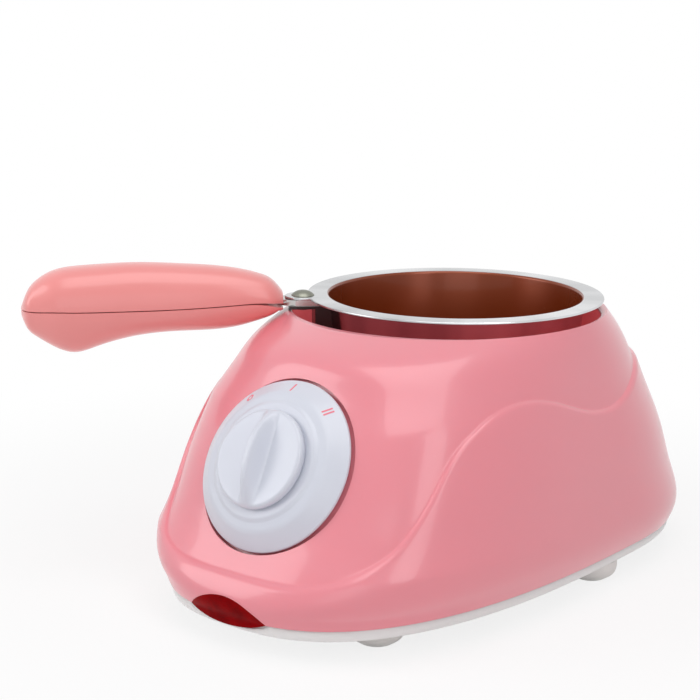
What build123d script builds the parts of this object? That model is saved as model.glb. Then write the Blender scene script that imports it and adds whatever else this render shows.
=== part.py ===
# Electric chocolate melter: an oval moulded housing with a warming well, a lift-off pot with a
# side handle, and a rotary switch on its sloping front. Millimetres, Z up, the floor at Z = 0.
# The front faces -Y. It is drawn about the axis of its opening, and the pieces are then moved
# together so that the origin lies on the floor under the middle of the whole object.
from build123d import *
from math import cos, pi, radians, sin, sqrt, tan
import os

os.makedirs("parts", exist_ok=True)
finished = []

# Body
foot_height = 7.0
pan_band = 4.0
body_height = 78.7
front_reach = 113.4
back_reach = 91.9
half_width = 65.0
front_lean = 29.42
wall = 2.2
ledge_step = 1.2
outline_points = 28

# Well and opening
opening_radius = 52.8
rim_front = 5.2
rim_back = 4.1
rim_side = 1.4
rim_round = 0.6
well_depth = 43.2
well_floor_radius = 46.0
well_wall = 2.0
well_hole_radius = 38.0

# Base pan and feet
pan_floor = 2.2
pan_inset = 0.6
pan_draft = 1.0
pan_round = 1.0
pan_lip_rise = 4.0
pan_lip_wall = 2.0
pan_fit = 0.3
foot_radius = 9.0
foot_sole_radius = 5.2
foot_side = 2.4
foot_bulge = 1.1
foot_stem_radius = 2.9
foot_stem_fit = 0.1
foot_barb = 1.1
foot_spots = {"front": (31.5, -78.0), "middle": (52.6, 14.5), "back": (34.0, 62.0)}
vent_count = 5
vent_length = 34.0
vent_width = 3.0
vent_pitch = 9.0
vent_y = -8.0

# Base screws, the pillars they sit in and the bosses they bite
boss_spots = {"front": (46.0, -50.0), "back": (47.0, 43.0)}
boss_radius = 4.0
boss_rib = 2.0
pillar_radius = 5.6
pillar_height = 4.0
screw_radius = 1.5
screw_head_radius = 3.4
screw_head_height = 1.9
screw_grip = 13.0
screw_fit = 0.1
slot_width = 0.8
slot_depth = 0.9
hole_fit = 0.2
stud_fit = 0.03

# Dial, knob and switch
dial_height = 42.34
dial_sink = 1.5
dial_radius = 27.7
dial_thickness = 3.2
dial_gap = 0.9
dial_step_radius = 21.5
dial_rise = 0.8
dial_round = 0.8
dial_seat = 2.2
dial_peg_radius = 1.5
dial_peg_length = 4.0
dial_peg_spot = 21.5
knob_radius = 15.5
knob_height = 13.0
knob_skirt = 3.0
knob_gap = 0.5
knob_scoop = 18.0
knob_ridge = 7.0
knob_round = 1.2
knob_hollow_radius = 10.5
knob_hollow = 2.0
knob_bore_depth = 8.5
knob_point = 3.5
shaft_radius = 3.0
shaft_fit = 0.05
shaft_tail = 9.0
shaft_chamfer = 0.4
bush_radius = 4.5
bush_fit = 0.2
bush_stand = 0.4
nut_flats = 13.0
nut_height = 1.8
nut_room = 9.0
switch_radius = 14.0
switch_depth = 13.0
blade_count = 3
blade_width = 4.8
blade_thickness = 0.8
blade_length = 7.0
blade_bite = 2.0
blade_pitch = 6.5

# Indicator lens and lamp
lens_half_width = 15.2
lens_height = 6.4
lens_gap = 0.25
lens_thickness = 1.9
lamp_radius = 2.6
lamp_length = 15.0
lamp_setback = 7.0
lamp_height = 5.0
lamp_fit = 0.1
holder_wall = 1.0
holder_width = 9.0
holder_depth = 7.0

# Heating plate and what hangs under it
plate_radius = 43.0
plate_thickness = 1.7
plate_boss = 4.3
plate_round = 0.5
plate_fit = 0.3
seal_thickness = 0.8
seal_inner_radius = 39.0
heater_radius = 34.0
heater_hole_radius = 12.0
heater_thickness = 1.2
clamp_radius = 35.5
clamp_thickness = 1.0
stud_radius = 2.0
stud_circle = 24.0
stud_count = 3
stud_start = 30.0
stud_bite = 3.0
stud_end = 1.0
hang_nut_flats = 7.0
hang_nut_height = 2.4
shield_radius = 44.0
shield_drop = 12.0
shield_thickness = 0.8
shield_rim = 6.0
shield_round = 2.0
thermostat_radius = 8.5
thermostat_flange = 11.0
thermostat_flange_thickness = 1.0
thermostat_height = 9.5
fuse_radius = 2.0
fuse_length = 13.0
fuse_spot = 26.0
fuse_chamfer = 0.6
fuse_clip_wall = 0.8
fuse_clip_width = 5.0
fuse_clip_foot = 4.0

# Mains connection
block_length = 34.0
block_width = 15.0
block_height = 13.0
block_corner = 1.5
block_y = 58.0
block_poles = 3
block_pitch = 10.0
block_wire_radius = 2.0
block_wire_height = 5.2
pole_screw_radius = 2.2
pole_screw_height = 3.0
pole_screw_sink = 1.0
gland_height = 14.0
gland_bore = 3.3
gland_barrel = 5.5
gland_flange = 7.6
gland_flange_thickness = 2.5
gland_flange_round = 1.0
gland_length = 18.0
gland_fit = 0.1
gland_pad = 9.2
gland_pad_depth = 10.0
gland_stand = 0.6
gland_nut_flats = 14.0
gland_nut_height = 3.0

# Pot
pot_shift = (1.4, 3.5)
pot_wall = 0.8
pot_radius = 44.4
pot_base_radius = 40.2
pot_height = 45.15
pot_corner = 8.0
pot_bend = 1.0
flange_radius = 51.0
flange_round = 0.3

# Tang, ear, rivet and bracket: distances are from the pot's axis
handle_angle = -135.0
ear_reach = 52.7
ear_radius = 6.2
tang_thickness = 2.0
tang_start = 46.6
tang_shoulder = 55.7
tang_step_start = 62.0
tang_step_end = 84.0
tang_end = 128.0
tang_half_width = 6.0
tang_neck = 2.6
tang_blade = 4.5
tang_drop = 3.6
tang_fit = 0.15
rivet_radius = 2.0
rivet_head_radius = 4.0
rivet_head_height = 1.7
rivet_tail_radius = 2.8
rivet_tail_height = 1.0
rivet_tail_taper = 0.6
bracket_width = 13.0
bracket_depth = 4.6
bracket_wall = 1.2
bracket_drop = 30.0
bracket_shelf = 1.0
bracket_shelf_end = 57.9
bracket_fit = 0.05

# Handle
handle_seam = 0.3
handle_power = 2.4
handle_points = 9
handle_screw_spots = {"front": 86.0, "back": 113.0}
handle_screw_radius = 1.4
handle_screw_head = 2.7
handle_screw_head_height = 1.4
handle_screw_seat = 2.4
handle_screw_reach = 8.0

# Sections of the handle from the pot outwards: distance from the pot's axis, how far the split
# lies under the flange, rise over the split, depth under it and half width
handle_rows = [
    (59.8, 1.95, 3.6, 1.6, 6.0),
    (62.5, 2.15, 7.0, 3.4, 8.5),
    (67.0, 2.55, 9.9, 5.0, 10.0),
    (75.0, 3.35, 12.7, 6.5, 11.0),
    (95.0, 4.85, 16.1, 6.4, 12.0),
    (110.0, 5.35, 17.1, 7.4, 12.5),
    (123.0, 5.55, 16.7, 10.8, 13.0),
    (130.0, 5.55, 16.2, 12.6, 13.0),
    (137.0, 5.35, 14.6, 10.6, 12.3),
    (143.0, 4.95, 10.6, 7.3, 10.0),
    (146.3, 4.15, 5.0, 4.2, 6.4),
    (147.4, 3.95, 1.8, 1.6, 2.8),
]

# Heights that follow from these
seam_z = foot_height + pan_band
pan_top = foot_height + pan_floor
pillar_top = pan_top + pillar_height
lip_top = seam_z + pan_lip_rise
rim_z = seam_z + body_height
well_floor_z = rim_z - well_depth
plate_z = well_floor_z + seal_thickness + plate_thickness
boss_low = plate_z - plate_thickness - plate_boss
clamp_low = boss_low - heater_thickness - clamp_thickness
shield_z = clamp_low - shield_drop
shield_low = shield_z - shield_thickness
flange_z = plate_z + pot_height
flange_under = flange_z - pot_wall
tang_under = flange_under - tang_thickness
half_step = ledge_step / 2

# Outline of the body from the seam up: share of the height, then how far the front stands back
# from its leaning line, the back from the back reach and the side from the half width
widest_share = 0.044
body_rows = [
    (0.000, 1.1, 1.3, 2.1),
    (widest_share, 0.0, 0.0, 0.7),
    (0.254, 0.7, 5.1, 0.0),
    (0.457, 0.9, 10.4, 1.4),
    (0.661, 1.0, 17.3, 4.6),
    (0.839, 1.6, 23.4, 7.6),
    (0.940, 3.9, 29.8, 9.4),
]
lean = tan(radians(front_lean))


def blend(share, low, high, low_share=widest_share, high_share=1.0):
    """Value that runs straight from low to high between two shares of the height."""
    way = min(1.0, max(0.0, (share - low_share) / (high_share - low_share)))
    return low + (high - low) * way


def front_line(share):
    """Front reach of the leaning line at a share of the body height."""
    return front_reach - max(0.0, share - widest_share) * body_height * lean


def outline(share, front, back, side, inset):
    """Points of the oval outline: squarer in front, rounder behind, drawn in by the inset."""
    middle = blend(share, 22.0, 2.4)
    front_power = blend(share, 2.65, 3.4, widest_share, 0.2) - blend(share, 0.0, 1.4, 0.7)
    back_power = blend(share, 2.7, 2.1)
    points = []
    for step in range(outline_points):
        turn = 2 * pi * step / outline_points
        power = front_power if sin(turn) < 0 else back_power
        depth = front + middle if sin(turn) < 0 else back - middle
        across = abs(cos(turn)) ** (2 / power) * (side - inset)
        along = abs(sin(turn)) ** (2 / power) * (depth - inset)
        x = across if cos(turn) >= 0 else -across
        y = middle + (along if sin(turn) >= 0 else -along)
        points.append((x, y))
    return points


def row_outline(row, inset):
    """Outline of one of the body rows."""
    share, front_in, back_in, side_in = row
    front = front_line(share) - front_in
    return outline(share, front, back_reach - back_in, half_width - side_in, inset)


def body_form(inset, top_drop=0.0):
    """Solid oval form of the body, drawn in by the inset and lowered at the top by the drop."""
    rows = [(row[0], row_outline(row, inset)) for row in body_rows]
    top = (opening_radius + rim_front, opening_radius + rim_back, opening_radius + rim_side)
    rows.append((1.0, outline(1.0, *top, inset)))
    with BuildPart() as form:
        for share, points in rows:
            with BuildSketch(Plane.XY.offset(seam_z + share * (body_height - top_drop))):
                with BuildLine():
                    Spline(*points, periodic=True)
                make_face()
        loft()
    return form.part


def seam_sketch(inset):
    """Face of the outline at the seam, to be added to a sketch at any height."""
    with BuildSketch() as face:
        with BuildLine():
            Spline(*row_outline(body_rows[0], inset), periodic=True)
        make_face()
    return face.sketch


recessed_form = body_form(half_step)
proud_form = body_form(-half_step)
inner_form = body_form(wall + half_step, wall)

# Proud lower skirt: its top edge is a wave, seen from the side as y and height over the seam
wave = [
    (-125.0, 11.3), (-108.0, 13.0), (-99.0, 17.3), (-88.0, 24.5), (-78.0, 35.5), (-68.0, 47.8),
    (-56.0, 56.3), (-38.0, 60.8), (-20.0, 58.0), (-4.0, 52.6), (9.0, 50.8), (22.0, 52.8),
    (40.0, 59.0), (62.0, 62.0), (110.0, 62.0),
]
with BuildPart() as skirt:
    add(proud_form)
    with BuildSketch(Plane.YZ):
        with BuildLine():
            Spline(*[(y, seam_z + height) for y, height in wave])
            Polyline(
                (wave[-1][0], seam_z + wave[-1][1]),
                (wave[-1][0], 0),
                (wave[0][0], 0),
                (wave[0][0], seam_z + wave[0][1]),
            )
        make_face()
    extrude(amount=2 * half_width, both=True, mode=Mode.INTERSECT)

# Dial plane: its origin is the middle of the dial's front, its Z points out of the dial
dial_y = dial_sink - front_line(dial_height / body_height)
dial_out = (0, -cos(radians(front_lean)), sin(radians(front_lean)))
dial_plane = Plane((0, dial_y, seam_z + dial_height), x_dir=(1, 0, 0), z_dir=dial_out)
dial_axis = Axis(dial_plane.origin, dial_plane.z_dir)
knob_right = dial_plane.x_dir.rotate(dial_axis, knob_point)
knob_plane = Plane(dial_plane.origin, x_dir=knob_right, z_dir=dial_plane.z_dir)
knob_end = Plane(knob_plane.origin, x_dir=knob_right, z_dir=-knob_plane.y_dir)
seat_front = -dial_thickness
seat_back = seat_front - dial_seat
knob_base = dial_rise + knob_gap
peg_places = [(-dial_peg_spot, 0), (dial_peg_spot, 0)]

# Gland plane: its Z points out of the back
gland_y = back_reach + gland_stand
gland_plane = Plane((0, gland_y, seam_z + gland_height), x_dir=(-1, 0, 0), z_dir=(0, 1, 0))

# Cavity of the housing: the inner form less the well, the dial seat, the gland pad and the bosses
with BuildPart() as cavity:
    add(inner_form)
    with BuildSketch(Plane.XZ):
        with BuildLine():
            Polyline(
                (0, well_floor_z - well_wall),
                (well_floor_radius + well_wall, well_floor_z - well_wall),
                (opening_radius + well_wall, rim_z),
                (0, rim_z),
                close=True,
            )
        make_face()
    revolve(axis=Axis.Z, mode=Mode.SUBTRACT)
    with BuildSketch(dial_plane.offset(seat_back)):
        Circle(dial_radius + dial_gap + wall)
    extrude(amount=dial_thickness + dial_seat, mode=Mode.SUBTRACT)
    with BuildSketch(gland_plane):
        Circle(gland_pad)
    extrude(amount=-gland_pad_depth, mode=Mode.SUBTRACT)
    for x, y in boss_spots.values():
        for side in (-1, 1):
            with BuildSketch(Plane((side * x, y, pillar_top))):
                Circle(boss_radius)
            extrude(amount=body_height, mode=Mode.SUBTRACT)
            with BuildSketch(Plane((side * (x + half_width) / 2, y, lip_top + boss_rib))):
                Rectangle(half_width - x, boss_rib)
            extrude(amount=body_height, mode=Mode.SUBTRACT)


def lens_form(gap):
    """Block behind the lens shape, a flat foot under a shallow arc, larger by the gap."""
    with BuildPart() as form:
        with BuildSketch(Plane.XZ.offset(front_reach / 2)):
            with BuildLine():
                arc = ThreePointArc(
                    (-lens_half_width - gap, seam_z),
                    (0, seam_z + lens_height + gap),
                    (lens_half_width + gap, seam_z),
                )
                Line(arc @ 1, arc @ 0)
            make_face()
        extrude(amount=front_reach)
    return form.part


# Upper housing: thin moulded shell with the well, the dial seat and the screw bosses inside
with BuildPart() as upper_housing:
    add(recessed_form)
    add(skirt.part)
    with BuildSketch(gland_plane):
        Circle(gland_pad)
    extrude(amount=-gland_pad_depth)
    add(cavity.part, mode=Mode.SUBTRACT)
    with BuildSketch(gland_plane):
        Circle(gland_barrel + gland_fit)
    extrude(amount=-gland_length, mode=Mode.SUBTRACT)
    with BuildSketch(Plane.XZ):
        with BuildLine():
            Polyline(
                (0, well_floor_z - well_wall),
                (well_hole_radius, well_floor_z - well_wall),
                (well_hole_radius, well_floor_z),
                (well_floor_radius, well_floor_z),
                (opening_radius, rim_z),
                (0, rim_z),
                close=True,
            )
        make_face()
    revolve(axis=Axis.Z, mode=Mode.SUBTRACT)
    fillet(upper_housing.edges().filter_by(GeomType.CIRCLE).group_by(Axis.Z)[-1], radius=rim_round)
    with BuildSketch(dial_plane.offset(seat_front)):
        Circle(dial_radius + dial_gap)
    extrude(amount=dial_thickness + knob_height, mode=Mode.SUBTRACT)
    with BuildSketch(dial_plane.offset(seat_back)):
        Circle(bush_radius + bush_fit)
        with Locations(*peg_places):
            Circle(dial_peg_radius + bush_fit)
    extrude(amount=dial_seat, mode=Mode.SUBTRACT)
    add(lens_form(lens_gap), mode=Mode.SUBTRACT)
    for x, y in boss_spots.values():
        for side in (-1, 1):
            with BuildSketch(Plane((side * x, y, pillar_top))):
                Circle(screw_radius + screw_fit)
            extrude(amount=screw_grip - pillar_height + 1, mode=Mode.SUBTRACT)
upper_housing.part.label = "upper_housing"
finished.append(upper_housing.part)

# Indicator lens: a piece of the front's own shape, a little inside its cut-out
with BuildPart() as indicator_lens:
    add(proud_form)
    add(body_form(lens_thickness - half_step), mode=Mode.SUBTRACT)
    add(lens_form(0), mode=Mode.INTERSECT)
indicator_lens.part.label = "indicator_lens"
finished.append(indicator_lens.part)

# Base pan: shallow tray with a tapered band, a lip inside the housing, pillars and vents
lip_inset = wall + half_step + pan_fit
with BuildPart() as base_pan:
    with BuildSketch(Plane.XY.offset(foot_height)):
        add(seam_sketch(pan_inset + pan_draft - half_step))
    with BuildSketch(Plane.XY.offset(seam_z)):
        add(seam_sketch(pan_inset - half_step))
    loft()
    fillet(base_pan.edges().group_by(Axis.Z)[0], radius=pan_round)
    with BuildSketch(Plane.XY.offset(seam_z)):
        add(seam_sketch(lip_inset))
    extrude(amount=pan_lip_rise)
    with BuildSketch(Plane.XY.offset(pan_top)):
        add(seam_sketch(lip_inset + pan_lip_wall))
    extrude(amount=lip_top - pan_top, mode=Mode.SUBTRACT)
    with BuildSketch(Plane((0, -front_reach, seam_z))):
        Rectangle(2 * lens_half_width, front_reach / 2)
    extrude(amount=pan_lip_rise, mode=Mode.SUBTRACT)
    for x, y in boss_spots.values():
        for side in (-1, 1):
            with BuildSketch(Plane((side * x, y, foot_height))):
                Circle(pillar_radius)
            extrude(amount=pan_band)
            with BuildSketch(Plane((side * x, y, seam_z))):
                Circle(boss_radius)
            extrude(amount=pillar_top - seam_z)
            with BuildSketch(Plane((side * x, y, foot_height))):
                Circle(screw_head_radius + hole_fit)
            extrude(amount=screw_head_height + hole_fit, mode=Mode.SUBTRACT)
            with BuildSketch(Plane((side * x, y, foot_height))):
                Circle(screw_radius + screw_fit)
            extrude(amount=pillar_top - foot_height, mode=Mode.SUBTRACT)
    for x, y in foot_spots.values():
        for side in (-1, 1):
            with BuildSketch(Plane((side * x, y, foot_height))):
                Circle(foot_stem_radius + foot_stem_fit)
            extrude(amount=pan_floor, mode=Mode.SUBTRACT)
    with BuildSketch(Plane((0, vent_y, foot_height))):
        with GridLocations(0, vent_pitch, 1, vent_count):
            SlotOverall(vent_length, vent_width)
    extrude(amount=pan_floor, mode=Mode.SUBTRACT)
base_pan.part.label = "base_pan"
finished.append(base_pan.part)

# Feet: soft turned pads with a stem that snaps into the pan floor
for place, (x, y) in foot_spots.items():
    for side, hand in ((-1, "left"), (1, "right")):
        with BuildPart() as foot:
            with BuildSketch(Plane((side * x, y, 0), x_dir=(1, 0, 0), z_dir=(0, -1, 0))):
                with BuildLine():
                    Polyline(
                        (foot_radius, foot_height - foot_side),
                        (foot_radius, foot_height),
                        (foot_stem_radius, foot_height),
                        (foot_stem_radius, pan_top),
                        (foot_stem_radius + foot_barb, pan_top),
                        (foot_stem_radius, pan_top + pan_floor),
                        (0, pan_top + pan_floor),
                        (0, 0),
                        (foot_sole_radius, 0),
                    )
                    ThreePointArc(
                        (foot_sole_radius, 0),
                        (foot_radius - foot_bulge, (foot_height - foot_side) / 3),
                        (foot_radius, foot_height - foot_side),
                    )
                make_face()
            revolve(axis=Axis((side * x, y, 0), (0, 0, 1)))
        foot.part.label = f"foot_{place}_{hand}"
        finished.append(foot.part)

# Base screws: up through the pan's pillars into the housing's bosses
head_low = foot_height + hole_fit
for place, (x, y) in boss_spots.items():
    for side, hand in ((-1, "left"), (1, "right")):
        with BuildPart() as base_screw:
            with BuildSketch(Plane((side * x, y, head_low))):
                Circle(screw_head_radius)
            extrude(amount=screw_head_height)
            chamfer(base_screw.edges().group_by(Axis.Z)[0], length=screw_head_height / 4)
            with BuildSketch(Plane((side * x, y, head_low + screw_head_height))):
                Circle(screw_radius)
            extrude(amount=screw_grip)
            chamfer(base_screw.edges().group_by(Axis.Z)[-1], length=screw_radius / 2)
            with BuildSketch(Plane((side * x, y, head_low))):
                Rectangle(screw_head_radius, slot_width)
                Rectangle(slot_width, screw_head_radius)
            extrude(amount=slot_depth, mode=Mode.SUBTRACT)
        base_screw.part.label = f"base_screw_{place}_{hand}"
        finished.append(base_screw.part)

# Dial plate: flat ring with a raised middle, hollow for the nut, on two pegs
with BuildPart() as dial_plate:
    with BuildSketch(dial_plane.offset(seat_front)):
        Circle(dial_radius)
    extrude(amount=dial_thickness)
    fillet(dial_plate.edges().sort_by(dial_axis)[-1], radius=dial_round)
    with BuildSketch(dial_plane):
        Circle(dial_step_radius)
    extrude(amount=dial_rise)
    chamfer(dial_plate.edges().sort_by(dial_axis)[-1], length=dial_rise / 2)
    with BuildSketch(dial_plane.offset(seat_front)):
        Circle(nut_room)
    extrude(amount=dial_thickness + dial_rise, mode=Mode.SUBTRACT)
    with BuildSketch(dial_plane.offset(seat_front)):
        with Locations(*peg_places):
            Circle(dial_peg_radius)
    extrude(amount=-dial_peg_length)
dial_plate.part.label = "dial_plate"
finished.append(dial_plate.part)

# Control knob: round foot with two scoops that leave a grip ridge, bored from behind
scoop_lift = knob_skirt + knob_scoop
scoop_reach = knob_ridge / 2 + sqrt(knob_scoop**2 - (scoop_lift - knob_height) ** 2)
with BuildPart() as control_knob:
    with BuildSketch(knob_plane.offset(knob_base)):
        Circle(knob_radius)
    extrude(amount=knob_height)
    fillet(control_knob.edges().sort_by(dial_axis)[-1], radius=knob_round)
    with BuildSketch(knob_end):
        with Locations(
            (-scoop_reach, knob_base + scoop_lift),
            (scoop_reach, knob_base + scoop_lift),
        ):
            Circle(knob_scoop)
    extrude(amount=2 * knob_radius, both=True, mode=Mode.SUBTRACT)
    with BuildSketch(knob_plane.offset(knob_base)):
        Circle(knob_hollow_radius)
    extrude(amount=knob_hollow, mode=Mode.SUBTRACT)
    with BuildSketch(knob_plane.offset(knob_base)):
        Circle(shaft_radius + shaft_fit)
    extrude(amount=knob_bore_depth, mode=Mode.SUBTRACT)
control_knob.part.label = "control_knob"
finished.append(control_knob.part)

# Rotary switch: round body and a threaded bush through the seat
bush_front = seat_front + nut_height + bush_stand
bore_low = seat_back - shaft_tail
blade_places = [((index - (blade_count - 1) / 2) * blade_pitch, 0) for index in range(blade_count)]
with BuildPart() as rotary_switch:
    with BuildSketch(dial_plane.offset(seat_back)):
        Circle(switch_radius)
    extrude(amount=-switch_depth)
    fillet(rotary_switch.edges().sort_by(dial_axis)[0], radius=1)
    with BuildSketch(dial_plane.offset(seat_back)):
        Circle(bush_radius)
    extrude(amount=bush_front - seat_back)
    with BuildSketch(dial_plane.offset(bore_low)):
        Circle(shaft_radius + shaft_fit)
    extrude(amount=bush_front - bore_low, mode=Mode.SUBTRACT)
    with BuildSketch(dial_plane.offset(seat_back - switch_depth)):
        with Locations(*blade_places):
            Rectangle(blade_thickness, blade_width)
    extrude(amount=blade_bite, mode=Mode.SUBTRACT)
rotary_switch.part.label = "rotary_switch"
finished.append(rotary_switch.part)

# Switch blades: flat push-on terminals set into the switch's back
for index, place in enumerate(blade_places, start=1):
    with BuildPart() as switch_blade:
        with BuildSketch(dial_plane.offset(seat_back - switch_depth + blade_bite)):
            with Locations(place):
                Rectangle(blade_thickness, blade_width)
        extrude(amount=-blade_length - blade_bite)
    switch_blade.part.label = f"switch_blade_{index}"
    finished.append(switch_blade.part)

# Switch shaft: turns in the bush and carries the knob
shaft_low = bore_low + shaft_fit
shaft_high = knob_base + knob_bore_depth - shaft_fit
with BuildPart() as switch_shaft:
    with BuildSketch(knob_plane.offset(shaft_low)):
        Circle(shaft_radius)
    extrude(amount=shaft_high - shaft_low)
    chamfer(switch_shaft.edges().sort_by(dial_axis)[-1], length=shaft_chamfer)
switch_shaft.part.label = "switch_shaft"
finished.append(switch_shaft.part)

# Switch nut: holds the bush in the seat, hidden in the dial's hollow
with BuildPart() as switch_nut:
    with BuildSketch(dial_plane.offset(seat_front)):
        RegularPolygon(nut_flats / 2, 6, major_radius=False)
        Circle(bush_radius + stud_fit, mode=Mode.SUBTRACT)
    extrude(amount=nut_height)
switch_nut.part.label = "switch_nut"
finished.append(switch_nut.part)

# Neon lamp behind the lens, and the clip on the pan that holds it
lamp_front = (0, lamp_setback - front_reach, pan_top + lamp_height)
lamp_plane = Plane(lamp_front, x_dir=(1, 0, 0), z_dir=(0, -1, 0))
with BuildPart() as neon_lamp:
    with BuildSketch(lamp_plane):
        Circle(lamp_radius)
    extrude(amount=-lamp_length)
    fillet(neon_lamp.edges().group_by(Axis.Y)[0], radius=lamp_radius * 0.8)
neon_lamp.part.label = "neon_lamp"
finished.append(neon_lamp.part)

holder_top = lamp_radius + lamp_fit + holder_wall
with BuildPart() as lamp_holder:
    with BuildSketch(lamp_plane.offset(-lamp_length)):
        with Locations((0, (holder_top - lamp_height) / 2)):
            Rectangle(holder_width, lamp_height + holder_top)
        Circle(lamp_radius + lamp_fit, mode=Mode.SUBTRACT)
    extrude(amount=holder_depth)
lamp_holder.part.label = "lamp_holder"
finished.append(lamp_holder.part)

# Heating plate on its seal ring; its boss reaches down through the well floor
stud_spots = []
for index in range(stud_count):
    turn = radians(stud_start) + 2 * pi * index / stud_count
    stud_spots.append((stud_circle * cos(turn), stud_circle * sin(turn)))

with BuildPart() as heating_plate:
    with BuildSketch(Plane.XY.offset(plate_z)):
        Circle(plate_radius)
    extrude(amount=-plate_thickness)
    fillet(heating_plate.edges().group_by(Axis.Z)[-1], radius=plate_round)
    with BuildSketch(Plane.XY.offset(boss_low)):
        Circle(well_hole_radius - plate_fit)
    extrude(amount=plate_boss)
    with BuildSketch(Plane.XY.offset(boss_low)):
        with Locations(*stud_spots):
            Circle(stud_radius + stud_fit)
    extrude(amount=stud_bite, mode=Mode.SUBTRACT)
heating_plate.part.label = "heating_plate"
finished.append(heating_plate.part)

with BuildPart() as plate_seal:
    with BuildSketch(Plane.XY.offset(well_floor_z)):
        Circle(plate_radius)
        Circle(seal_inner_radius, mode=Mode.SUBTRACT)
    extrude(amount=seal_thickness)
plate_seal.part.label = "plate_seal"
finished.append(plate_seal.part)

# Heater ring and the clamp plate that presses it to the boss
with BuildPart() as heater_element:
    with BuildSketch(Plane.XY.offset(boss_low)):
        Circle(heater_radius)
        Circle(heater_hole_radius, mode=Mode.SUBTRACT)
        with Locations(*stud_spots):
            Circle(stud_radius + hole_fit, mode=Mode.SUBTRACT)
    extrude(amount=-heater_thickness)
heater_element.part.label = "heater_element"
finished.append(heater_element.part)

with BuildPart() as heater_clamp:
    with BuildSketch(Plane.XY.offset(clamp_low)):
        Circle(clamp_radius)
        Circle(heater_hole_radius, mode=Mode.SUBTRACT)
        with Locations(*stud_spots):
            Circle(stud_radius + hole_fit, mode=Mode.SUBTRACT)
    extrude(amount=clamp_thickness)
heater_clamp.part.label = "heater_clamp"
finished.append(heater_clamp.part)

# Heat shield: dish hung under the clamp on the same studs
with BuildPart() as heat_shield:
    with BuildSketch(Plane.XY.offset(shield_low)):
        Circle(shield_radius)
    extrude(amount=shield_rim + shield_thickness)
    fillet(heat_shield.edges().group_by(Axis.Z)[0], radius=shield_round)
    with BuildSketch(Plane.XY.offset(shield_z)):
        Circle(shield_radius - shield_thickness)
    extrude(amount=shield_rim, mode=Mode.SUBTRACT)
    with BuildSketch(Plane.XY.offset(shield_low)):
        with Locations(*stud_spots):
            Circle(stud_radius + hole_fit)
    extrude(amount=shield_thickness, mode=Mode.SUBTRACT)
heat_shield.part.label = "heat_shield"
finished.append(heat_shield.part)

# Studs, each with a hexagon spacer from the clamp to the shield and a nut under the shield
stud_low = shield_low - hang_nut_height - stud_end
for index, (x, y) in enumerate(stud_spots, start=1):
    with BuildPart() as hang_stud:
        with BuildSketch(Plane((x, y, stud_low))):
            Circle(stud_radius)
        extrude(amount=boss_low + stud_bite - stud_low)
    hang_stud.part.label = f"hang_stud_{index}"
    finished.append(hang_stud.part)
    with BuildPart() as clamp_spacer:
        with BuildSketch(Plane((x, y, shield_z))):
            RegularPolygon(hang_nut_flats / 2, 6, major_radius=False)
            Circle(stud_radius + stud_fit, mode=Mode.SUBTRACT)
        extrude(amount=shield_drop)
    clamp_spacer.part.label = f"clamp_spacer_{index}"
    finished.append(clamp_spacer.part)
    with BuildPart() as shield_nut:
        with BuildSketch(Plane((x, y, shield_low))):
            RegularPolygon(hang_nut_flats / 2, 6, major_radius=False)
            Circle(stud_radius + stud_fit, mode=Mode.SUBTRACT)
        extrude(amount=-hang_nut_height)
    shield_nut.part.label = f"shield_nut_{index}"
    finished.append(shield_nut.part)

# Thermostat: disc type, its flange pressed to the plate's boss inside the heater ring
with BuildPart() as thermostat:
    with BuildSketch(Plane.XY.offset(boss_low)):
        Circle(thermostat_radius)
    extrude(amount=-thermostat_height)
    fillet(thermostat.edges().group_by(Axis.Z)[0], radius=1)
    with BuildSketch(Plane.XY.offset(boss_low)):
        Circle(thermostat_flange)
    extrude(amount=-thermostat_flange_thickness)
thermostat.part.label = "thermostat"
finished.append(thermostat.part)

# Thermal fuse under the clamp plate, and its clip
clip_radius = fuse_radius + stud_fit + fuse_clip_wall
fuse_centre = (0, fuse_spot, clamp_low - clip_radius)
fuse_plane = Plane(fuse_centre, x_dir=(0, 1, 0), z_dir=(1, 0, 0))
with BuildPart() as thermal_fuse:
    with BuildSketch(fuse_plane):
        Circle(fuse_radius)
    extrude(amount=fuse_length / 2, both=True)
    chamfer(thermal_fuse.edges().filter_by(GeomType.CIRCLE), length=fuse_chamfer)
thermal_fuse.part.label = "thermal_fuse"
finished.append(thermal_fuse.part)

with BuildPart() as fuse_clip:
    with BuildSketch(fuse_plane):
        Circle(clip_radius)
        with Locations((0, clip_radius / 2)):
            Rectangle(2 * clip_radius, clip_radius)
        with Locations((0, clip_radius - fuse_clip_wall / 2)):
            Rectangle(2 * clip_radius + 2 * fuse_clip_foot, fuse_clip_wall)
        Circle(fuse_radius + stud_fit, mode=Mode.SUBTRACT)
    extrude(amount=fuse_clip_width / 2, both=True)
fuse_clip.part.label = "fuse_clip"
finished.append(fuse_clip.part)

# Terminal block on the pan behind the heater, with one screw for each pole
pole_places = [((index - (block_poles - 1) / 2) * block_pitch, 0) for index in range(block_poles)]
block_top = pan_top + block_height
block_face = Plane(
    (0, block_y - block_width / 2, pan_top + block_wire_height), x_dir=(1, 0, 0), z_dir=(0, -1, 0)
)
with BuildPart() as terminal_block:
    with BuildSketch(Plane((0, block_y, pan_top))):
        RectangleRounded(block_length, block_width, block_corner)
    extrude(amount=block_height)
    with BuildSketch(block_face):
        with Locations(*pole_places):
            Circle(block_wire_radius)
    extrude(amount=-block_width, mode=Mode.SUBTRACT)
    with BuildSketch(Plane((0, block_y, block_top))):
        with Locations(*pole_places):
            Circle(pole_screw_radius + hole_fit)
    extrude(amount=-pole_screw_height - pole_screw_sink, mode=Mode.SUBTRACT)
terminal_block.part.label = "terminal_block"
finished.append(terminal_block.part)

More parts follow.
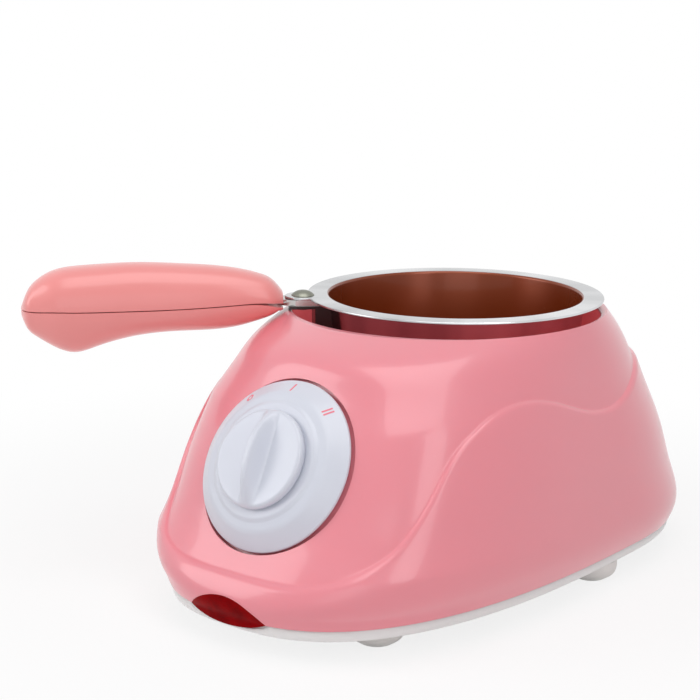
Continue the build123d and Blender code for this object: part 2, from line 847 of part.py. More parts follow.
for index, place in enumerate(pole_places, start=1):
    with BuildPart() as pole_screw:
        with BuildSketch(Plane((0, block_y, block_top - pole_screw_sink))):
            with Locations(place):
                Circle(pole_screw_radius)
        extrude(amount=-pole_screw_height)
        with BuildSketch(Plane((0, block_y, block_top - pole_screw_sink))):
            with Locations(place):
                Rectangle(2 * pole_screw_radius, slot_width)
        extrude(amount=-slot_depth, mode=Mode.SUBTRACT)
    pole_screw.part.label = f"pole_screw_{index}"
    finished.append(pole_screw.part)

# Cord gland through the back of the housing, and its nut inside
with BuildPart() as cord_gland:
    with BuildSketch(gland_plane):
        Circle(gland_flange)
    extrude(amount=gland_flange_thickness)
    fillet(cord_gland.edges().group_by(Axis.Y)[-1], radius=gland_flange_round)
    with BuildSketch(gland_plane):
        Circle(gland_barrel)
    extrude(amount=gland_flange_thickness - gland_length)
    with BuildSketch(gland_plane.offset(gland_flange_thickness)):
        Circle(gland_bore)
    extrude(amount=-gland_length, mode=Mode.SUBTRACT)
cord_gland.part.label = "cord_gland"
finished.append(cord_gland.part)

with BuildPart() as gland_nut:
    with BuildSketch(gland_plane.offset(-gland_pad_depth)):
        RegularPolygon(gland_nut_flats / 2, 6, major_radius=False)
        Circle(gland_barrel + stud_fit, mode=Mode.SUBTRACT)
    extrude(amount=-gland_nut_height)
gland_nut.part.label = "gland_nut"
finished.append(gland_nut.part)

# Planes of the handle: its side view, with X out from the pot's axis, and its top view
pot_x, pot_y = pot_shift
arm_x, arm_y = cos(radians(handle_angle)), sin(radians(handle_angle))
pot_axis = Axis((pot_x, pot_y, 0), (0, 0, 1))
handle_side = Plane((pot_x, pot_y, 0), x_dir=(arm_x, arm_y, 0), z_dir=(arm_y, -arm_x, 0))
handle_top = Plane((pot_x, pot_y, 0), x_dir=(arm_x, arm_y, 0), z_dir=(0, 0, 1))
ear_axis = Axis((pot_x + ear_reach * arm_x, pot_y + ear_reach * arm_y, 0), (0, 0, 1))

# Pot: drawn steel bowl with a flat flange and an ear for the handle
pot_inner = pot_radius - pot_wall
with BuildPart() as pot:
    with BuildSketch(handle_side) as pot_section:
        with BuildLine():
            Polyline(
                (0, plate_z),
                (pot_base_radius, plate_z),
                (pot_radius, flange_under),
                (flange_radius, flange_under),
                (flange_radius, flange_z),
                (pot_inner, flange_z),
                (pot_base_radius - pot_wall, plate_z + pot_wall),
                (0, plate_z + pot_wall),
                close=True,
            )
        make_face()
        corners = pot_section.vertices()
        fillet(corners.sort_by_distance((pot_base_radius, plate_z))[0], radius=pot_corner)
        inner_corner = (pot_base_radius - pot_wall, plate_z + pot_wall)
        corners = pot_section.vertices()
        fillet(corners.sort_by_distance(inner_corner)[0], radius=pot_corner - pot_wall)
        corners = pot_section.vertices()
        fillet(corners.sort_by_distance((pot_inner, flange_z))[0], radius=pot_bend)
        corners = pot_section.vertices()
        fillet(corners.sort_by_distance((flange_radius, flange_z))[0], radius=flange_round)
    revolve(axis=pot_axis)
    with BuildSketch(handle_top.offset(flange_under)):
        with Locations((ear_reach, 0)):
            Circle(ear_radius)
        with Locations((ear_reach - ear_radius / 2, 0)):
            Rectangle(ear_radius, 2 * ear_radius)
    extrude(amount=pot_wall)
    with BuildSketch(handle_top.offset(flange_under)):
        with Locations((ear_reach, 0)):
            Circle(rivet_radius + stud_fit)
    extrude(amount=pot_wall, mode=Mode.SUBTRACT)
pot.part.label = "pot"
finished.append(pot.part)

# Bracket: dark channel down the pot's wall with a shelf under the tang
bracket_reach = pot_radius + bracket_depth
bracket_low = tang_under - bracket_drop
shelf_low = tang_under - bracket_shelf
with BuildPart() as pot_bracket:
    with BuildSketch(handle_side):
        with BuildLine():
            Polyline(
                (pot_base_radius, bracket_low),
                (bracket_reach, bracket_low),
                (bracket_reach, shelf_low),
                (bracket_shelf_end, shelf_low),
                (bracket_shelf_end, tang_under),
                (pot_base_radius, tang_under),
                close=True,
            )
        make_face()
    extrude(amount=bracket_width / 2, both=True)
    with BuildSketch(handle_side):
        with BuildLine():
            Polyline(
                (pot_base_radius, bracket_low),
                (bracket_reach - bracket_wall, bracket_low),
                (bracket_reach - bracket_wall, shelf_low),
                (pot_base_radius, shelf_low),
                close=True,
            )
        make_face()
    extrude(amount=bracket_width / 2 - bracket_wall, both=True, mode=Mode.SUBTRACT)
    with BuildSketch(handle_side):
        with BuildLine():
            Polyline(
                (0, plate_z),
                (pot_base_radius + bracket_fit, plate_z),
                (pot_radius + bracket_fit, flange_under),
                (0, flange_under),
                close=True,
            )
        make_face()
    revolve(axis=pot_axis, mode=Mode.SUBTRACT)
    with BuildSketch(handle_top.offset(shelf_low)):
        with Locations((ear_reach, 0)):
            Circle(rivet_radius + stud_fit)
    extrude(amount=bracket_shelf, mode=Mode.SUBTRACT)
pot_bracket.part.label = "pot_bracket"
finished.append(pot_bracket.part)


def tang_form(extra):
    """Tang of the handle: a flat bar that steps down inside the handle, grown by the extra."""
    low = tang_under - extra
    high = flange_under + extra
    side = [
        (tang_start - extra, low),
        (tang_step_start, low),
        (tang_step_end, low - tang_drop),
        (tang_end + extra, low - tang_drop),
        (tang_end + extra, high - tang_drop),
        (tang_step_end, high - tang_drop),
        (tang_step_start, high),
        (tang_start - extra, high),
    ]
    half = [
        (tang_start - extra, tang_half_width + extra),
        (tang_shoulder, tang_half_width + extra),
        (tang_step_start, tang_neck + extra),
        (tang_step_end, tang_blade + extra),
        (tang_end + extra, tang_blade + extra),
    ]
    with BuildPart() as form:
        with BuildSketch(handle_side):
            with BuildLine():
                Polyline(*side, close=True)
            make_face()
        extrude(amount=bracket_width, both=True)
        with BuildSketch(handle_top):
            with BuildLine():
                Polyline(*half, *[(reach, -across) for reach, across in reversed(half)], close=True)
            make_face()
        extrude(amount=2 * flange_z, mode=Mode.INTERSECT)
    return form.part


# Tang, with holes for the rivet and the handle screws
screw_places = [(reach, 0) for reach in handle_screw_spots.values()]
with BuildPart() as handle_tang:
    add(tang_form(0))
    with BuildSketch(handle_top):
        with Locations((ear_reach, 0)):
            Circle(rivet_radius + stud_fit)
        with Locations(*screw_places):
            Circle(handle_screw_radius + hole_fit)
    extrude(amount=2 * flange_z, mode=Mode.SUBTRACT)
handle_tang.part.label = "handle_tang"
finished.append(handle_tang.part)

# Rivet through ear, tang and shelf
with BuildPart() as ear_rivet:
    with BuildSketch(handle_side):
        with BuildLine():
            Polyline(
                (ear_reach + rivet_head_radius, flange_z),
                (ear_reach + rivet_radius, flange_z),
                (ear_reach + rivet_radius, shelf_low),
                (ear_reach + rivet_tail_radius, shelf_low),
                (ear_reach + rivet_tail_radius - rivet_tail_taper, shelf_low - rivet_tail_height),
                (ear_reach, shelf_low - rivet_tail_height),
                (ear_reach, flange_z + rivet_head_height),
            )
            ThreePointArc(
                (ear_reach, flange_z + rivet_head_height),
                (ear_reach + rivet_head_radius * 0.7, flange_z + rivet_head_height * 0.62),
                (ear_reach + rivet_head_radius, flange_z),
            )
        make_face()
    revolve(axis=ear_axis)
ear_rivet.part.label = "ear_rivet"
finished.append(ear_rivet.part)


def handle_half(column, gap, direction):
    """One half of the handle: a loft of domes that stand on the split or hang under it."""
    with BuildPart() as form:
        for row in handle_rows:
            reach, drop, half = row[0], row[1], row[4]
            height = direction * (row[column] - gap)
            base = flange_z - drop + direction * gap
            centre = (pot_x + reach * arm_x, pot_y + reach * arm_y, base)
            dome = []
            for step in range(handle_points):
                turn = pi * step / (handle_points - 1)
                across = abs(cos(turn)) ** (2 / handle_power) * half
                x = across if cos(turn) >= 0 else -across
                dome.append((x, sin(turn) ** (2 / handle_power) * height))
            with BuildSketch(Plane(centre, x_dir=(-arm_y, arm_x, 0), z_dir=(arm_x, arm_y, 0))):
                with BuildLine():
                    Spline(*dome)
                    Line(dome[-1], dome[0])
                make_face()
        loft()
    return form.part


# Handle halves: slotted for the tang, joined by two screws from below
tang_low = tang_under - tang_drop
head_seat = tang_low - handle_screw_seat
with BuildPart() as handle_upper:
    add(handle_half(2, 0, 1))
    add(tang_form(tang_fit), mode=Mode.SUBTRACT)
    with BuildSketch(handle_top.offset(tang_low)):
        with Locations(*screw_places):
            Circle(handle_screw_radius + screw_fit)
    extrude(amount=handle_screw_reach + 1, mode=Mode.SUBTRACT)
handle_upper.part.label = "handle_upper"
finished.append(handle_upper.part)

with BuildPart() as handle_lower:
    add(handle_half(3, handle_seam, -1))
    add(tang_form(tang_fit), mode=Mode.SUBTRACT)
    with BuildSketch(handle_top.offset(head_seat)):
        with Locations(*screw_places):
            Circle(handle_screw_radius + screw_fit)
    extrude(amount=2 * handle_screw_seat, mode=Mode.SUBTRACT)
    with BuildSketch(handle_top.offset(head_seat)):
        with Locations(*screw_places):
            Circle(handle_screw_head + hole_fit)
    extrude(amount=-2 * handle_screw_reach, mode=Mode.SUBTRACT)
handle_lower.part.label = "handle_lower"
finished.append(handle_lower.part)

for place, reach in handle_screw_spots.items():
    with BuildPart() as handle_screw:
        with BuildSketch(handle_top.offset(head_seat)):
            with Locations((reach, 0)):
                Circle(handle_screw_head)
        extrude(amount=-handle_screw_head_height)
        chamfer(handle_screw.edges().group_by(Axis.Z)[0], length=handle_screw_head_height / 4)
        with BuildSketch(handle_top.offset(head_seat)):
            with Locations((reach, 0)):
                Circle(handle_screw_radius)
        extrude(amount=handle_screw_seat + handle_screw_reach)
    handle_screw.part.label = f"handle_screw_{place}"
    finished.append(handle_screw.part)

# Every piece moves by the same way, so that the whole object's box is centred over the origin
boxes = [piece.bounding_box() for piece in finished]
box_x = (min(box.min.X for box in boxes) + max(box.max.X for box in boxes)) / 2
box_y = (min(box.min.Y for box in boxes) + max(box.max.Y for box in boxes)) / 2
for piece in finished:
    placed = piece.moved(Location((-box_x, -box_y, 0)))
    placed.label = piece.label
    export_step(placed, f"parts/{piece.label}.step")
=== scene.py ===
"""Electric chocolate melter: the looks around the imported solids. Metres, Z up, the front faces -Y."""

import math

import bmesh
import bpy
import numpy as np
from mathutils import Matrix, Vector


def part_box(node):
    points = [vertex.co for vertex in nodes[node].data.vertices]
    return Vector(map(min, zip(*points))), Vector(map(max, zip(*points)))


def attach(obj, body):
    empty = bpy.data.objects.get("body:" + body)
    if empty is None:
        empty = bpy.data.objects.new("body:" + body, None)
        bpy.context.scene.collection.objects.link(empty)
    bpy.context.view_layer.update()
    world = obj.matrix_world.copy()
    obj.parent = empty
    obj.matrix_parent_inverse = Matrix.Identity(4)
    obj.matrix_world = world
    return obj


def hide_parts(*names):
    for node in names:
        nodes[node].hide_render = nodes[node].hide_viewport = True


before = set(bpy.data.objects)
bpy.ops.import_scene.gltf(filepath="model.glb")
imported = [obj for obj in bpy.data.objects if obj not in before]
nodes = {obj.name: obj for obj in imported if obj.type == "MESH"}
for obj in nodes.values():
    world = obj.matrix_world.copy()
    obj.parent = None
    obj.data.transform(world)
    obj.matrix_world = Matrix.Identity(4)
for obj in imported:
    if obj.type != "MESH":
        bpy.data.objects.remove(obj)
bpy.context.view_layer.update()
scene = bpy.context.scene
mm = 0.001
# The object is drawn in millimetres about the axis of its well, which is the warming plate's.
plate_low, plate_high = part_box("heating_plate")
drawn_about = (Vector(plate_low) + Vector(plate_high)) / 2
drawn_about.z = 0


# Colours, nodes and materials. Every surface is worked out from object coordinates.
def colour(code, alpha=1.0):
    """Linear colour of an sRGB code such as f1c2c6."""
    parts = [int(code[i : i + 2], 16) / 255 for i in (0, 2, 4)]
    line = [c / 12.92 if c <= 0.04045 else ((c + 0.055) / 1.055) ** 2.4 for c in parts]
    return (*line, alpha)


def put(tree, kind, sockets=None, **settings):
    """A new node with its settings; a socket's value is a constant or the output to link from."""
    made = tree.nodes.new(kind)
    for key, value in settings.items():
        setattr(made, key, value)
    for key, value in (sockets or {}).items():
        if isinstance(value, bpy.types.NodeSocket):
            tree.links.new(value, made.inputs[key])
        else:
            made.inputs[key].default_value = value
    return made


def surface(name, base, shade=None, rough=0.4, metal=0.0, coat=0.0, grain=400, relief=0.02,
            mottle=0.5, stretch=(1, 1, 1), drift=22.0, **extra):
    """Material whose colour drifts between two tones and whose skin has a fine grain."""
    made = bpy.data.materials.new(name)
    made.use_nodes = True
    tree = made.node_tree
    bsdf = tree.nodes["Principled BSDF"]
    place = put(tree, "ShaderNodeTexCoord").outputs["Object"]
    spread = put(tree, "ShaderNodeMapping", {"Vector": place, "Scale": stretch}).outputs["Vector"]
    cloud = put(tree, "ShaderNodeTexNoise", {"Vector": place, "Scale": drift, "Detail": 2.0})
    tone = put(tree, "ShaderNodeMix", {"Factor": cloud.outputs["Fac"], "A": colour(base),
               "B": colour(shade or base)}, data_type="RGBA")
    tree.links.new(tone.outputs["Result"], bsdf.inputs["Base Color"])
    fine = put(tree, "ShaderNodeTexNoise", {"Vector": spread, "Scale": grain, "Detail": 3.0})
    gloss = put(tree, "ShaderNodeMapRange", {"Value": fine.outputs["Fac"],
                "To Min": rough * (1 - 0.2 * mottle), "To Max": rough * (1 + 0.2 * mottle)})
    tree.links.new(gloss.outputs["Result"], bsdf.inputs["Roughness"])
    bump = put(tree, "ShaderNodeBump", {"Height": fine.outputs["Fac"], "Strength": relief,
               "Distance": 0.0002})
    tree.links.new(bump.outputs["Normal"], bsdf.inputs["Normal"])
    bsdf.inputs["Metallic"].default_value = metal
    bsdf.inputs["Coat Weight"].default_value = coat
    bsdf.inputs["Coat Roughness"].default_value = 0.06
    for key, value in extra.items():
        socket = next(s for s in bsdf.inputs if s.name.lower() == key.replace("_", " "))
        socket.default_value = value
    return made


# Gloss pink polystyrene of the housing, and a little deeper on the handle
pink = surface("pink_housing_plastic", "ef8f9a", "ed8b96", rough=0.28, coat=0.45, mottle=0.1,
               relief=0.002, subsurface_weight=0.12, subsurface_radius=(0.006, 0.0018, 0.0015))
# The same plastic in the well, with a painted red glow that stands in for light in the dark gap between the pot
# and the housing
pink_well_glowing = surface("pink_well_painted_glow", "f0888f", "ee828a", rough=0.3, coat=0.3, relief=0.002,
                    emission_color=colour("a8383c"), emission_strength=0.45)
pink_handle = surface("pink_handle_plastic", "f69896", "f3918e", rough=0.3, coat=0.3, mottle=0.1,
                      relief=0.002)
# White satin plastic of the dial and the knob, faintly blue, and of the base pan
white_dial = surface("white_dial_plastic", "d9dce6", "d5d8e4", rough=0.32, coat=0.15, grain=120)
white_pan = surface("white_pan_plastic", "f0efee", "eceae9", rough=0.35, coat=0.2, grain=160)
# Pink print of the dial's marks
mark_ink = surface("pink_mark_ink", "ee7f8e", rough=0.5)
# Clear deep red plastic of the indicator lens. Its tone drifts in patches from dark to bright red: painted
# light, for the bright patches that light makes inside the lens
lens_red = surface("red_lens_plastic", "4e0003", "a20106", rough=0.2, specular_ior_level=0.03,
                   drift=190.0)
# Soft grey rubber of the feet
foot_grey = surface("grey_foot_rubber", "eeebe8", "e6e3e0", rough=0.55, relief=0.1)
# Drawn and polished stainless steel of the pot, with painted reflections in rays round its axis, and plated
# steel of the small parts
pot_steel = surface("stainless_pot_steel", "d8d5cf", "cfccc6", rough=0.16, metal=1.0, grain=900,
                    relief=0.05)
# Painted reflections: the pot steel's colour runs from dark grey to near white in rays round the pot's axis,
# standing in for the light and dark rays its polished flange reflects.
tree = pot_steel.node_tree
shift = Vector((0.0014, 0.0035, 0)) + drawn_about
place = put(tree, "ShaderNodeTexCoord").outputs["Object"]
centred = put(tree, "ShaderNodeVectorMath", {0: place, 1: shift}, operation="SUBTRACT").outputs["Vector"]
flat = put(tree, "ShaderNodeVectorMath", {0: centred, 1: (1, 1, 0)}, operation="MULTIPLY").outputs["Vector"]
spoke = put(tree, "ShaderNodeVectorMath", {0: flat}, operation="NORMALIZE").outputs["Vector"]
reflection_ray_noise = put(tree, "ShaderNodeTexNoise", {"Vector": spoke, "Scale": 1.6, "Detail": 3.0})
reflection_share = put(tree, "ShaderNodeMapRange", {"Value": reflection_ray_noise.outputs["Fac"], "From Min": 0.35, "From Max": 0.65,
            "To Min": 0.45, "To Max": 1.0})
painted_reflection_rays = put(tree, "ShaderNodeMix", {"Factor": reflection_share.outputs["Result"], "A": colour("77797c"),
               "B": colour("d9dadc")}, data_type="RGBA")
tree.links.new(painted_reflection_rays.outputs["Result"], tree.nodes["Principled BSDF"].inputs["Base Color"])
plated = surface("plated_steel", "c9c8c6", "bdbcba", rough=0.24, metal=1.0, relief=0.05)
# Brown on the inside of the steel pot: the chocolate's own colour, and a painted reflection of that chocolate
# on the steel walls
chocolate_reflection_brown = surface("chocolate_and_painted_reflection_brown", "8a3a10", "7a2e0a", rough=0.26, metal=0.4, coat=0.2)
# Dull rivet head at the ear
rivet_grey = surface("dull_rivet_steel", "8d8d82", "7f8076", rough=0.38, metal=1.0, relief=0.1)
# Strap of the pot, painted near black as painted shade: it hangs in the shadow under the flange
strap_painted_shade = surface("strap_painted_shade_black", "15100f", "1d1615", rough=0.4, coat=0.3)
# Materials of what is inside
brass = surface("plated_brass", "c6a663", "b3924f", rough=0.3, metal=1.0)
aluminium = surface("turned_aluminium", "c4c6c8", "b6b8ba", rough=0.35, metal=1.0, relief=0.1)
mica = surface("pressed_mica", "a8915c", "8d7749", rough=0.7, relief=0.3)
sheet = surface("thin_sheet_steel", "a9abad", "9b9d9f", rough=0.4, metal=1.0)
black_plastic = surface("black_switch_plastic", "1f2125", "26282c", rough=0.5)
lamp_glass = surface("lamp_glass", "f0c8b0", rough=0.05, transmission_weight=0.8)
natural = surface("natural_plastic", "ebe8dd", "e3dfd2", rough=0.5)
silicone = surface("red_silicone", "a83a2c", "9c3226", rough=0.55)
steatite = surface("white_steatite", "ece9e1", "e2ded4", rough=0.5, relief=0.1)
tinned = surface("tinned_fuse_case", "c8c1ad", "bdb6a2", rough=0.35, metal=1.0)


# Shapes. Each is written straight into a mesh in the frame, with its object at the origin.
def cubic(knots, values):
    """Smooth curve through the values, straight at its ends, as a function of the knot's place."""
    knots, values = np.array(knots, float), np.array(values, float)
    step, rise = np.diff(knots), np.diff(values)
    size = len(knots)
    matrix, right = np.eye(size), np.zeros(size)
    for i in range(1, size - 1):
        matrix[i, i - 1 : i + 2] = step[i - 1], 2 * (step[i - 1] + step[i]), step[i]
        right[i] = 6 * (rise[i] / step[i] - rise[i - 1] / step[i - 1])
    bend = np.linalg.solve(matrix, right)

    def at(place):
        i = np.clip(np.searchsorted(knots, place) - 1, 0, size - 2)
        a, b, h = knots[i + 1] - place, place - knots[i], step[i]
        return (
            (bend[i] * a**3 + bend[i + 1] * b**3) / (6 * h)
            + (values[i] / h - bend[i] * h / 6) * a
            + (values[i + 1] / h - bend[i + 1] * h / 6) * b
        )

    return at


def piece(name, verts, faces, paints, body, stands_for=(), kinds=None, angle=40):
    """A mesh object from millimetre points, smooth up to the angle, that rides on a body."""
    mesh = bpy.data.meshes.new(name)
    placed = [Vector([float(c) * mm for c in v]) + drawn_about for v in verts]
    mesh.from_pydata(placed, [], faces)
    for paint in paints:
        mesh.materials.append(paint)
    if kinds is not None:
        mesh.polygons.foreach_set("material_index", kinds)
    made = bpy.data.objects.new(name, mesh)
    scene.collection.objects.link(made)
    return dress(made, body, stands_for, angle)


def dress(made, body, stands_for=(), angle=40):
    """Smooth shading up to the angle, the piece's body, and the nodes it stands for hidden."""
    mesh = made.data
    mesh.validate()
    mesh.polygons.foreach_set("use_smooth", [True] * len(mesh.polygons))
    mesh.set_sharp_from_angle(angle=math.radians(angle))
    if body:
        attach(made, body)
    if stands_for:
        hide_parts(*stands_for)
    return made


def loops(rings, closed=False, first_cap=False, last_cap=False):
    """Points and faces of a skin over rings of equal length, each ring closed on itself."""
    rings = np.array(rings)
    count, size = rings.shape[:2]
    verts = [tuple(p) for p in rings.reshape(-1, 3)]
    faces = []
    for i in range(count if closed else count - 1):
        low, high = i * size, ((i + 1) % count) * size
        for k in range(size):
            n = (k + 1) % size
            faces.append((low + k, low + n, high + n, high + k))
    if first_cap:
        faces.append(tuple(reversed(range(size))))
    if last_cap:
        faces.append(tuple((count - 1) * size + k for k in range(size)))
    return verts, faces


def rounded(points, radii, parts=6):
    """The polyline with each corner turned into an arc of its radius."""
    out = []
    for i, (point, radius) in enumerate(zip(points, radii)):
        p = np.array(point, float)
        if radius <= 0 or i in (0, len(points) - 1):
            out.append(tuple(p))
            continue
        a = np.array(points[i - 1], float) - p
        b = np.array(points[i + 1], float) - p
        a, b = a / np.linalg.norm(a), b / np.linalg.norm(b)
        half = math.acos(max(-1.0, min(1.0, float(a @ b)))) / 2
        reach = radius / math.tan(half)
        middle = (a + b) / np.linalg.norm(a + b) * radius / math.sin(half) + p
        start, end = p + a * reach - middle, p + b * reach - middle
        sweep = math.pi - 2 * half
        for step in range(parts + 1):
            s = step / parts * sweep
            out.append(tuple(middle + (start * math.sin(sweep - s) + end * math.sin(s)) / math.sin(sweep)))
    return out


def turned(profile, origin, axis, side, segments=160):
    """Rings of a profile of (radius, height) turned about an axis."""
    axis, side = Vector(axis).normalized(), Vector(side).normalized()
    third = axis.cross(side)
    turn = np.linspace(0, 2 * np.pi, segments, endpoint=False)
    around = np.outer(np.cos(turn), side) + np.outer(np.sin(turn), third)
    return [np.array(origin) + radius * around + height * np.array(axis) for radius, height in profile]


def copy_of(node, paint, body, name, angle=30):
    """A merged, smooth copy of a node's own mesh that stands for it."""
    made = bpy.data.objects.new(name, nodes[node].data.copy())
    scene.collection.objects.link(made)
    work = bmesh.new()
    work.from_mesh(made.data)
    bmesh.ops.remove_doubles(work, verts=work.verts, dist=0.000002)
    work.to_mesh(made.data)
    work.free()
    made.data.materials.clear()
    made.data.materials.append(paint)
    return dress(made, body, (node,), angle)


def cut(target, cutter):
    """The target less the cutter, as a plain mesh; the cutter is removed."""
    work = target.modifiers.new("cut", "BOOLEAN")
    work.operation, work.solver, work.object = "DIFFERENCE", "EXACT", cutter
    bpy.context.view_layer.update()
    graph = bpy.context.evaluated_depsgraph_get()
    result = bpy.data.meshes.new_from_object(target.evaluated_get(graph))
    target.modifiers.clear()
    target.data = result
    bpy.data.objects.remove(cutter)


# Camera: at the photograph's place, turned as the object is seen there.
camera = bpy.data.objects.new("camera", bpy.data.cameras.new("camera"))
scene.collection.objects.link(camera)
right = Vector((0.78085, 0.62468, 0.00715)).normalized()
ahead = Vector((-0.60837, 0.76297, -0.21853)).normalized()
up = right.cross(ahead)
turn = Matrix((right, up, -ahead)).transposed().to_4x4()
seen_from = Vector((0.329618, -0.466054, 0.201701)) + drawn_about
camera.matrix_world = Matrix.Translation(seen_from) @ turn
camera.data.sensor_width = 36
camera.data.lens = 86.66
camera.data.clip_start = 0.05
scene.camera = camera
scene.view_settings.view_transform = "Standard"

# Stage: a white floor and a white surround, pure white to the camera, in mirrors and through glass.
def shown_white(tree):
    """One for a ray from the camera, off a mirror or through glass, else nothing."""
    path = put(tree, "ShaderNodeLightPath").outputs
    clear_sight = put(tree, "ShaderNodeMath", {0: path["Is Camera Ray"], 1: path["Is Glossy Ray"]},
                      operation="MAXIMUM").outputs[0]
    return put(tree, "ShaderNodeMath", {0: clear_sight, 1: path["Is Transmission Ray"]},
               operation="MAXIMUM").outputs[0]


floor_mesh = bpy.data.meshes.new("floor")
floor_mesh.from_pydata([(-4, -4, 0), (4, -4, 0), (4, 4, 0), (-4, 4, 0)], [], [(0, 1, 2, 3)])
floor = bpy.data.objects.new("floor", floor_mesh)
scene.collection.objects.link(floor)
floor_paint = bpy.data.materials.new("white_floor")
floor_paint.use_nodes = True
tree = floor_paint.node_tree
tree.nodes.clear()
matt = put(tree, "ShaderNodeBsdfDiffuse", {"Color": (0.92, 0.92, 0.92, 1)})
glow = put(tree, "ShaderNodeEmission", {"Color": (1, 1, 1, 1), "Strength": 1.0})
spot = put(tree, "ShaderNodeTexCoord").outputs["Object"]
away = put(tree, "ShaderNodeVectorMath", {0: spot}, operation="LENGTH").outputs["Value"]
clear = put(tree, "ShaderNodeMapRange", {"Value": away, "From Min": 0.1, "From Max": 0.28,
            "To Min": 0.8, "To Max": 1.0}, interpolation_type="SMOOTHSTEP")
share = put(tree, "ShaderNodeMath", {0: shown_white(tree), 1: clear.outputs["Result"]},
            operation="MULTIPLY")
mixed = put(tree, "ShaderNodeMixShader", {0: share.outputs[0], 1: matt.outputs[0], 2: glow.outputs[0]})
put(tree, "ShaderNodeOutputMaterial", {"Surface": mixed.outputs[0]})
floor_mesh.materials.append(floor_paint)

world = bpy.data.worlds.new("studio")
scene.world = world
world.use_nodes = True
tree = world.node_tree
tree.nodes.clear()
where = put(tree, "ShaderNodeTexCoord").outputs["Generated"]
height = put(tree, "ShaderNodeSeparateXYZ", {"Vector": where}).outputs["Z"]
ramp = put(tree, "ShaderNodeValToRGB", {"Fac": height})
ramp.color_ramp.elements[0].color = (0.30, 0.30, 0.31, 1)
ramp.color_ramp.elements[1].color = (0.85, 0.85, 0.86, 1)
soft = put(tree, "ShaderNodeBackground", {"Color": ramp.outputs["Color"], "Strength": 0.5})
plain = put(tree, "ShaderNodeBackground", {"Color": (1, 1, 1, 1), "Strength": 1.0})
seen = put(tree, "ShaderNodeMixShader", {0: shown_white(tree), 1: soft.outputs[0], 2: plain.outputs[0]})
put(tree, "ShaderNodeOutputWorld", {"Surface": seen.outputs[0]})

# Lights: a wide soft box above, one at the left front, a tall one at the right and a low fill.
for name, place, size, power in (
    ("top_box", (0.15, -0.15, 0.9), (0.7, 0.7), 3.3),
    ("left_box", (-0.75, -0.75, 0.55), (0.6, 0.8), 3.7),
    ("right_box", (0.95, -0.35, 0.6), (0.35, 0.9), 2.2),
    ("front_fill", (0.45, -0.75, 0.22), (0.5, 0.4), 0.5),
):
    lamp = bpy.data.lights.new(name, "AREA")
    lamp.shape, lamp.size, lamp.size_y, lamp.energy = "RECTANGLE", *size, power
    box = bpy.data.objects.new(name, lamp)
    box.location = place
    box.rotation_euler = (Vector((0, 0, 0.06)) - Vector(place)).to_track_quat("-Z", "Y").to_euler()
    scene.collection.objects.link(box)


# Housing: an oval shell, squarer in front and rounder behind, in a proud lower skirt with a
# waved top edge. Its rows run from the seam up, over the rim, down the well and back inside.
seam, top, columns = 11.0, 89.7, 320
shares = [0.0, 0.044, 0.254, 0.457, 0.661, 0.839, 0.940, 1.0]
lean = math.tan(math.radians(29.42))
front_in = [1.1, 0.0, 0.7, 0.9, 1.0, 1.6, 3.9]
front_rows = [113.4 - max(0, s - 0.044) * 78.7 * lean - c for s, c in zip(shares, front_in)] + [58.0]
front_of = cubic(shares, front_rows)
back_of = cubic(shares, [90.6, 91.9, 86.8, 81.5, 74.6, 68.5, 62.1, 56.9])
side_of = cubic(shares, [62.9, 64.3, 65.0, 63.6, 60.4, 57.4, 55.6, 54.2])


def ramped(share, low, high, start, end):
    return low + (high - low) * np.clip((share - start) / (end - start), 0, 1)


def middle_of(share):
    return ramped(share, 22.0, 2.4, 0.044, 1.0)


def powers_of(share):
    front = ramped(share, 2.65, 3.4, 0.044, 0.2) - ramped(share, 0.0, 1.4, 0.7, 1.0)
    return front, ramped(share, 2.7, 2.1, 0.044, 1.0)


def outlines(share, inset, count=columns):
    """Evenly spaced points of the outline at each share of the height: x and y, row by row."""
    share = np.atleast_1d(share)[:, None]
    phi = np.linspace(-np.pi / 2, 1.5 * np.pi, 3601)[None, :]
    front, back = powers_of(share)
    power = np.where(np.sin(phi) < 0, front, back)
    middle = middle_of(share)
    deep = np.where(np.sin(phi) < 0, front_of(share) + middle, back_of(share) - middle) - inset
    wide = side_of(share) - inset
    reach = (np.abs(np.cos(phi)) / wide) ** power + (np.abs(np.sin(phi)) / deep) ** power
    reach = reach ** (-1 / power)
    x, y = reach * np.cos(phi), middle + reach * np.sin(phi)
    run = np.cumsum(np.hypot(np.diff(x), np.diff(y)), axis=1)
    run = np.hstack([np.zeros((len(share), 1)), run])
    even = np.linspace(0, 1, count, endpoint=False)
    xs = np.array([np.interp(even * r[-1], r, row) for r, row in zip(run, x)])
    ys = np.array([np.interp(even * r[-1], r, row) for r, row in zip(run, y)])
    return xs, ys


wave_y = [-125, -108, -99, -88, -78, -68, -56, -38, -20, -4, 9, 22, 40, 62, 110]
wave_z = [22.3, 24, 28.3, 35.5, 46.5, 58.8, 67.3, 71.8, 69, 63.6, 61.8, 63.8, 70, 73, 73]
wave_of = cubic(wave_y, wave_z)
grid = np.linspace(0, 1, 241)
grid_x, grid_y = outlines(grid, 0.0)
out_x, out_y = outlines(grid, 1.0)
grid_z = seam + grid * (top - seam)
slope = (wave_of(grid_y + 0.2) - wave_of(grid_y - 0.2)) / 0.4
over = (grid_z[:, None] - wave_of(grid_y)) / np.sqrt(1 + slope**2)
over = np.maximum.accumulate(over, axis=0) + grid[:, None] * 1e-6


def row_at(share, inset):
    """Ring of points, each column at its own share of the height and inset."""
    share = np.broadcast_to(share, (columns,))
    ring = np.zeros((columns, 3))
    for k in range(columns):
        a, b = np.interp(share[k], grid, grid_x[:, k]), np.interp(share[k], grid, out_x[:, k])
        c, d = np.interp(share[k], grid, grid_y[:, k]), np.interp(share[k], grid, out_y[:, k])
        ring[k] = a + (b - a) * inset, c + (d - c) * inset, seam + share[k] * (top - seam)
    return ring


def share_over(distance):
    """Each column's share of the height where it lies that far over the wave."""
    return np.array([np.interp(distance, over[:, k], grid) for k in range(columns)])


